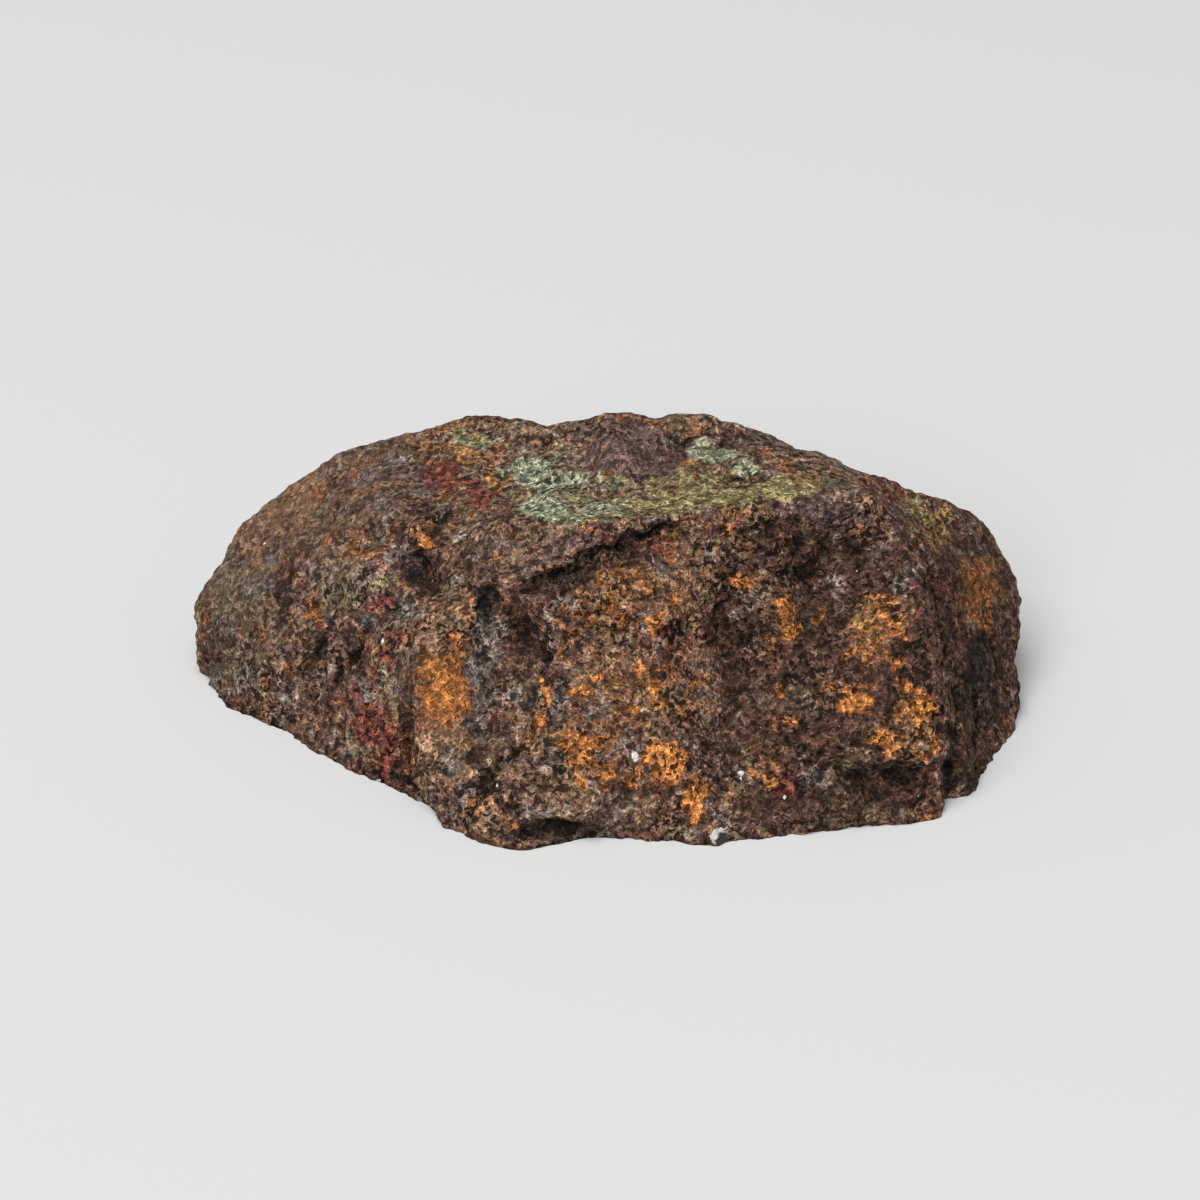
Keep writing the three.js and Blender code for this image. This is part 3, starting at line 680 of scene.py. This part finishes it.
class Recipe:
    """The nodes of one material, in millimetres of the stone."""

    def __init__(self, name):
        self.material = bpy.data.materials.new(name)
        self.material.use_nodes = True
        self.tree = self.material.node_tree
        self.shader = self.tree.nodes["Principled BSDF"]
        self.place = self.node("ShaderNodeVectorMath", {"operation": "SCALE"}, {
            "Vector": self.node("ShaderNodeTexCoord").outputs["Object"], "Scale": 1 / MM}).outputs[0]
        self.ragged_place = None

    def node(self, kind, settings=None, inputs=None):
        """A new node with its settings made and its sockets filled."""
        made = self.tree.nodes.new(kind)
        for name, value in (settings or {}).items():
            setattr(made, name, value)
        for name, value in (inputs or {}).items():
            self.put(value, made.inputs[name])
        return made

    def put(self, value, socket):
        """Links another node's result to a socket, or sets the socket to a plain value."""
        if isinstance(value, bpy.types.NodeSocket):
            self.tree.links.new(value, socket)
        else:
            socket.default_value = value

    def strength(self, name):
        """A value that is stored with the mesh."""
        return self.node("ShaderNodeAttribute", {"attribute_name": name}).outputs["Fac"]

    def shifted(self, seed):
        """The place on the stone moved off, so that patterns of different seeds are unlike."""
        shift = tuple(seed * step for step in SEED_STEPS)
        return self.node("ShaderNodeVectorMath", {"operation": "ADD"}, {0: self.place, 1: shift}).outputs[0]

    def noise(self, scale, seed, detail, roughness=0.6, distortion=0.0):
        """Noise from 0 to 1, with about this many waves to a millimetre."""
        return self.node("ShaderNodeTexNoise", None, {
            "Vector": self.shifted(seed), "Scale": scale, "Detail": detail, "Roughness": roughness,
            "Distortion": distortion}).outputs["Fac"]

    def distance(self, place):
        """How far it is to a place on the stone, by a measure that noise makes ragged."""
        if self.ragged_place is None:
            wander = self.node("ShaderNodeTexNoise", None, {
                "Vector": self.place, "Scale": RAGGED_PITCH, "Detail": 2.0}).outputs["Color"]
            self.ragged_place = self.node("ShaderNodeVectorMath", {"operation": "MULTIPLY_ADD"}, {
                0: wander, 1: (RAGGEDNESS,) * 3, 2: self.place}).outputs[0]
        middle = Vector(place) + Vector((1, 1, 1)) * RAGGEDNESS * NOISE_MEAN
        return self.node("ShaderNodeVectorMath", {"operation": "DISTANCE"},
                         {0: self.ragged_place, 1: tuple(middle)}).outputs["Value"]

    def crooked_lines(self, scale, seed):
        """0 along thin crooked lines, rising to either side of them."""
        field = self.noise(scale, seed, detail=2, roughness=0.5, distortion=0.35)
        return self.math("ABSOLUTE", self.math("SUBTRACT", field, NOISE_MEAN))

    def math(self, operation, *values):
        """The result of one sum, such as MULTIPLY_ADD."""
        made = self.node("ShaderNodeMath", {"operation": operation})
        for value, socket in zip(values, made.inputs):
            self.put(value, socket)
        return made.outputs[0]

    def between(self, value, low, high, to_low=0.0, to_high=1.0):
        """A value that goes smoothly from to_low to to_high while another goes from low to high."""
        return self.node("ShaderNodeMapRange", {"interpolation_type": "SMOOTHSTEP"}, {
            "Value": value, "From Min": low, "From Max": high,
            "To Min": to_low, "To Max": to_high}).outputs["Result"]

    def ramp(self, value, stops):
        """A colour that runs through the stops as the value rises."""
        made = self.node("ShaderNodeValToRGB", None, {"Fac": value})
        line = made.color_ramp.elements
        for position, _ in stops[1:-1]:
            line.new(position)
        for element, (position, colour) in zip(line, stops):
            element.position = position
            element.color = colour
        return made.outputs["Color"]

    def mix(self, factor, first, second, blend="MIX"):
        """The first colour with the second laid over it, by this share."""
        made = self.node("ShaderNodeMix", {"data_type": "RGBA", "blend_type": blend})
        self.put(factor, made.inputs[MIX_FACTOR])
        self.put(first, made.inputs[MIX_FIRST])
        self.put(second, made.inputs[MIX_SECOND])
        return made.outputs[MIX_RESULT]


# Each stain's colour where it is thin and where it is thick, and how much of the crust it covers. Soot and
# umber are partly painted shade.
STAIN_COLOURS = [
    ("umber_and_painted_shade", linear(70, 47, 37), linear(54, 37, 29), 0.92),
    ("tan", linear(110, 82, 62), linear(134, 104, 82), 0.8),
    ("olive", linear(84, 70, 56), linear(98, 85, 66), 0.75),
    ("plum", linear(80, 62, 58), linear(90, 73, 71), 0.75),
    ("red", linear(86, 50, 39), linear(98, 46, 37), 0.82),
    ("ochre", linear(106, 78, 52), linear(134, 96, 54), 0.85),
    ("slate", linear(80, 70, 65), linear(106, 95, 89), 0.85),
    ("moss", linear(108, 94, 66), linear(128, 119, 79), 0.9),
    ("mint", linear(108, 103, 83), linear(132, 136, 113), 0.95),
    ("soot_and_painted_shade", linear(46, 34, 29), linear(32, 24, 22), 0.85),
    ("rust", linear(108, 66, 40), linear(166, 106, 54), 0.92),
]

# A coarse and a fine noise are added to a stain's strength, at these weights, to make it ragged. The
# ragged stain begins, covers the crust, is thin and is thick at these strengths.
COARSE_WEIGHT = 1.6
FINE_WEIGHT = 1.2
STAIN_BEGINS = 0.46
STAIN_COVERS = 0.56
STAIN_IS_THIN = 0.5
STAIN_IS_THICK = 0.95
FIRST_STAIN_SEED = 20.0
STAIN_SEED_STEP = 5

# The crust's own colours: the bare crust, and for each patch on it the noise's scale and seed, where
# the pattern begins and is full, how much it covers, and the colour.
BARE_CRUST = linear(84, 62, 51)
CRUST_PATCHES = [
    ("khaki dust", 0.22, 4.0, 0.46, 0.56, 0.8, linear(100, 83, 62)),
    ("plum film", 0.26, 6.0, 0.52, 0.60, 0.8, linear(88, 66, 61)),
    ("light brown crust", 0.4, 8.0, 0.46, 0.58, 0.8, linear(106, 80, 65)),
    ("rust film", 0.6, 12.0, 0.53, 0.60, 0.75, linear(124, 82, 52)),
    ("grey film", 0.6, 16.0, 0.54, 0.61, 0.75, linear(110, 101, 95)),
    ("dark crust", 0.7, 19.0, 0.54, 0.60, 0.85, linear(60, 41, 36)),
    ("olive dust", 0.8, 27.0, 0.57, 0.63, 0.6, linear(112, 101, 79)),
    ("red film", 0.8, 31.0, 0.57, 0.63, 0.7, linear(94, 55, 45)),
]

# How the grain's tone and painted light change the crust's brightness: crumbs are partly their own tone and
# partly painted light, crests partly pale tone and partly painted highlight, hollows get painted shade and
# raised places painted light. For each of its patterns: where it begins and ends, and how many times as
# bright it leaves the crust at either end. Hollows and heights are in millimetres of relief.
CRUMB_TONE_AND_PAINTED_LIGHT = (0.34, 0.66, 0.48, 1.62)
CREST_TONE_AND_PAINTED_HIGHLIGHT = (0.012, 0.08, 2.3, 0.85)
HOLLOW_PAINTED_SHADE = (-0.16, -0.01, 0.35, 1.0)
HEIGHT_PAINTED_LIGHT = (0.02, 0.14, 1.0, 1.25)

# Creases get painted shade, black in some parts of the crust and faint in others.
CREASE_ENDS = (0.4, 0.5)
DARKEST_PAINTED_CREASE_SHADE = (0.4, 0.6, 0.08, 0.45)
BESIDE_CREASES = 1.1

# The share of the grain, with its painted light and shade, that is left where the crust is level, and where
# it is worn smooth.
LEVEL_GRAIN = 0.9
WORN_GRAIN = 0.55

# Glints are the highest places of a fine noise.
GLINT_ENDS = (0.77, 0.82)
GLINT = linear(200, 190, 180)

# A pale crumb is whole to this share of its radius, and fades out from there.
CRUMB_CORE = 0.6
WHITE_MINERAL = linear(226, 222, 216)

# The bead's painted shade and painted highlight colours, and how much of it there is where it begins to
# shine and where it does fully.
SHADED_METAL = linear(92, 86, 82)
LIT_METAL_HIGHLIGHT = linear(225, 222, 216)
BEAD_METALLIC = (0.3, 0.8)

# The crust's roughness falls from the third number to the fourth as the noise of its crumbs rises.
CRUST_ROUGHNESS = (0.35, 0.7, 0.9, 0.6)
CRUST_SPECULAR = 0.15

# The grain's bumps, too small for the mesh: their height in millimetres, and the share of the creases
# and crests in it.
BUMP_HEIGHT = 0.12
CREASE_BUMP_ENDS = (0.36, 0.52)
CREASE_BUMP = 0.8
CREST_BUMP_ENDS = (0.0, 0.1)
CREST_BUMP = -0.6


def crust_colour(recipe):
    """The colour of the crust with its patches and stains, before the grain."""
    colour = BARE_CRUST
    for _, scale, seed, begins, full, cover, patch in CRUST_PATCHES:
        pattern = recipe.noise(scale, seed, detail=5, roughness=0.65)
        colour = recipe.mix(recipe.between(pattern, begins, full, 0.0, cover), colour, patch)

    usual = (COARSE_WEIGHT + FINE_WEIGHT) * NOISE_MEAN
    fine = recipe.noise(scale=1.9, seed=90.0, detail=3, distortion=0.5)
    for index, (name, thin, thick, cover) in enumerate(STAIN_COLOURS):
        seed = FIRST_STAIN_SEED + STAIN_SEED_STEP * index
        coarse = recipe.noise(scale=0.8, seed=seed, detail=4, distortion=0.3)
        ragged = recipe.math("MULTIPLY_ADD", coarse, COARSE_WEIGHT, recipe.strength(name))
        ragged = recipe.math("MULTIPLY_ADD", fine, FINE_WEIGHT, recipe.math("SUBTRACT", ragged, usual))
        stain = recipe.mix(recipe.between(ragged, STAIN_IS_THIN, STAIN_IS_THICK), thin, thick)
        colour = recipe.mix(recipe.between(ragged, STAIN_BEGINS, STAIN_COVERS, 0.0, cover), colour, stain)
    return colour


def grain_tone_and_painted_shade(recipe, crumbs, creases, crests):
    """How many times as bright each place of the crust is made: the grain's own tone, painted shade in
    creases and hollows, and painted light on crests and raised places.
    """
    darkest = recipe.between(recipe.noise(scale=0.35, seed=55.0, detail=3), *DARKEST_PAINTED_CREASE_SHADE)
    relief = recipe.strength("relief")
    shade = recipe.between(crumbs, *CRUMB_TONE_AND_PAINTED_LIGHT)
    for further in (
        recipe.between(creases, *CREASE_ENDS, darkest, BESIDE_CREASES),
        recipe.between(crests, *CREST_TONE_AND_PAINTED_HIGHLIGHT),
        recipe.between(relief, *HOLLOW_PAINTED_SHADE),
        recipe.between(relief, *HEIGHT_PAINTED_LIGHT),
    ):
        shade = recipe.math("MULTIPLY", shade, further)
    return shade


def with_pale_crumbs(recipe, surface, colour):
    """A colour with the crumbs of white mineral added."""
    for _, pixel, radius in PALE_CRUMBS:
        distance = recipe.distance(spot(surface, pixel))
        inside = recipe.between(distance, radius * CRUMB_CORE, radius, 1.0, 0.0)
        colour = recipe.mix(inside, colour, WHITE_MINERAL)
    return colour


def crust_material(surface):
    """Brown-black weathered stony iron with stains of rust, ochre, red and green, all finely grained, with
    painted shade in creases and hollows and painted highlights on crests.
    """
    recipe = Recipe("weathered_crust")
    crumbs = recipe.noise(scale=1.5, seed=3.0, detail=4, roughness=0.65, distortion=0.4)
    creases = recipe.noise(scale=2.7, seed=61.0, detail=2, roughness=0.5, distortion=0.7)
    crests = recipe.crooked_lines(scale=2.3, seed=75.0)

    colour = crust_colour(recipe)
    # The colour darkened by painted shade and lightened by painted light, along with the grain's own tone.
    grained_with_painted_light = recipe.mix(1.0, colour, grain_tone_and_painted_shade(recipe, crumbs, creases, crests), "MULTIPLY")
    level = recipe.between(recipe.strength("level"), 0.0, 1.0, 1.0, LEVEL_GRAIN)
    worn = recipe.between(recipe.strength("worn"), 0.0, 1.0, 1.0, WORN_GRAIN)
    colour = recipe.mix(recipe.math("MULTIPLY", level, worn), colour, grained_with_painted_light)
    glints = recipe.noise(scale=4.5, seed=47.0, detail=1, roughness=0.5)
    colour = recipe.mix(recipe.between(glints, *GLINT_ENDS), colour, GLINT)
    colour = with_pale_crumbs(recipe, surface, colour)

    metal = recipe.between(recipe.distance(spot(surface, METAL_BEAD)), *BEAD_ENDS, 1.0, 0.0)
    # Painted light on the bead: a painted highlight on its upper left, painted shade on its other side.
    lit = recipe.between(recipe.distance(spot(surface, METAL_BEAD_SHADE)), *BEAD_SHADE_ENDS)
    colour = recipe.mix(metal, colour, recipe.mix(lit, SHADED_METAL, LIT_METAL_HIGHLIGHT))
    recipe.put(colour, recipe.shader.inputs["Base Color"])
    recipe.put(recipe.between(metal, *BEAD_METALLIC), recipe.shader.inputs["Metallic"])
    recipe.put(recipe.between(crumbs, *CRUST_ROUGHNESS), recipe.shader.inputs["Roughness"])
    recipe.put(CRUST_SPECULAR, recipe.shader.inputs["Specular IOR Level"])

    height = recipe.math("MULTIPLY_ADD", recipe.between(creases, *CREASE_BUMP_ENDS), CREASE_BUMP, crumbs)
    height = recipe.math("MULTIPLY_ADD", recipe.between(crests, *CREST_BUMP_ENDS), CREST_BUMP, height)
    bump = recipe.node("ShaderNodeBump", None, {
        "Strength": 1.0, "Distance": BUMP_HEIGHT * MM, "Height": height})
    recipe.put(bump.outputs["Normal"], recipe.shader.inputs["Normal"])
    return recipe.material


# The sawn face: the silicate's colours by the value of its noise, then the metal's and the rust's. Rust
# covers no more than its last number, and the roughness goes from the silicate's to the metal's.
SILICATE = [
    (0.35, linear(38, 35, 32)),
    (0.52, linear(66, 62, 54)),
    (0.68, linear(104, 98, 82)),
]
NICKEL_IRON = linear(188, 184, 178)
METAL_GRAIN_ENDS = (0.525, 0.555)
SAWN_RUST = linear(120, 70, 36)
SAWN_RUST_ENDS = (0.6, 0.7, 0.0, 0.8)
SAWN_ROUGHNESS = (0.0, 1.0, 0.45, 0.28)


def sawn_material():
    """The sawn face: dark silicate with bright nickel-iron in grains and veins, and a little rust."""
    recipe = Recipe("sawn_face")
    silicate = recipe.ramp(recipe.noise(scale=0.9, seed=2.0, detail=6, roughness=0.65), SILICATE)
    grains = recipe.noise(scale=0.75, seed=14.0, detail=5, roughness=0.55, distortion=0.4)
    metal = recipe.between(grains, *METAL_GRAIN_ENDS)
    rust = recipe.between(recipe.noise(scale=0.5, seed=33.0, detail=5), *SAWN_RUST_ENDS)
    colour = recipe.mix(metal, silicate, NICKEL_IRON)
    colour = recipe.mix(rust, colour, SAWN_RUST)
    bare_metal = recipe.math("MULTIPLY", metal, recipe.math("SUBTRACT", 1.0, rust))
    recipe.put(colour, recipe.shader.inputs["Base Color"])
    recipe.put(bare_metal, recipe.shader.inputs["Metallic"])
    recipe.put(recipe.between(metal, *SAWN_ROUGHNESS), recipe.shader.inputs["Roughness"])
    return recipe.material


# Floor, light and camera. The values here are in metres, apart from the sensor's width in millimetres.

FLOOR_SIZE = 3
FLOOR_COLOUR = (0.585, 0.585, 0.585, 1)
FLOOR_ROUGHNESS = 0.9

SKY_COLOUR = (1, 1, 1, 1)
SKY_STRENGTH = 0.32

# Each lamp's name, place, width and power in watts.
LAMPS = [
    ("top_softbox", (-0.3, -0.4, 1.3), 1.2, 21),
    ("front_fill", (-0.5, -1.3, 0.8), 0.6, 8),
]

SENSOR_WIDTH = 36
NEAREST_SEEN = 0.005


def build_floor():
    """A plain pale floor under the stone."""
    bpy.ops.mesh.primitive_plane_add(size=FLOOR_SIZE)
    floor = bpy.context.object
    floor.name = "floor"
    material = bpy.data.materials.new("pale_floor")
    material.use_nodes = True
    shader = material.node_tree.nodes["Principled BSDF"]
    shader.inputs["Base Color"].default_value = FLOOR_COLOUR
    shader.inputs["Roughness"].default_value = FLOOR_ROUGHNESS
    floor.data.materials.append(material)


def area_light(name, place, size, power):
    """A square soft lamp, aimed at the stone."""
    light = bpy.data.lights.new(name, "AREA")
    light.size = size
    light.energy = power
    lamp = bpy.data.objects.new(name, light)
    lamp.location = place
    lamp.rotation_euler = (-Vector(place)).to_track_quat("-Z", "Y").to_euler()
    bpy.context.scene.collection.objects.link(lamp)


def build_lights():
    """Even light from all around, and the lamps."""
    world = bpy.data.worlds.new("studio")
    bpy.context.scene.world = world
    world.use_nodes = True
    background = world.node_tree.nodes["Background"]
    background.inputs["Color"].default_value = SKY_COLOUR
    background.inputs["Strength"].default_value = SKY_STRENGTH
    for lamp in LAMPS:
        area_light(*lamp)


def build_camera():
    """The camera in the photograph's place, with a lens that takes in the same width."""
    lens = bpy.data.cameras.new("camera")
    lens.sensor_width = SENSOR_WIDTH
    lens.lens = SENSOR_WIDTH * CAMERA_DISTANCE / PHOTO_SPAN
    lens.clip_start = NEAREST_SEEN
    camera = bpy.data.objects.new("camera", lens)
    camera.location = CAMERA_PLACE * MM
    camera.rotation_euler = VIEW_AWAY.to_track_quat("-Z", "Y").to_euler()
    bpy.context.scene.collection.objects.link(camera)
    bpy.context.scene.camera = camera


build_camera()
build_floor()
build_lights()
bpy.context.scene.view_settings.view_transform = "Standard"

stone, surface = build_stone()
stone.data.materials.append(crust_material(surface))
stone.data.materials.append(sawn_material())
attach(stone, "root")
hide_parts("meteorite")
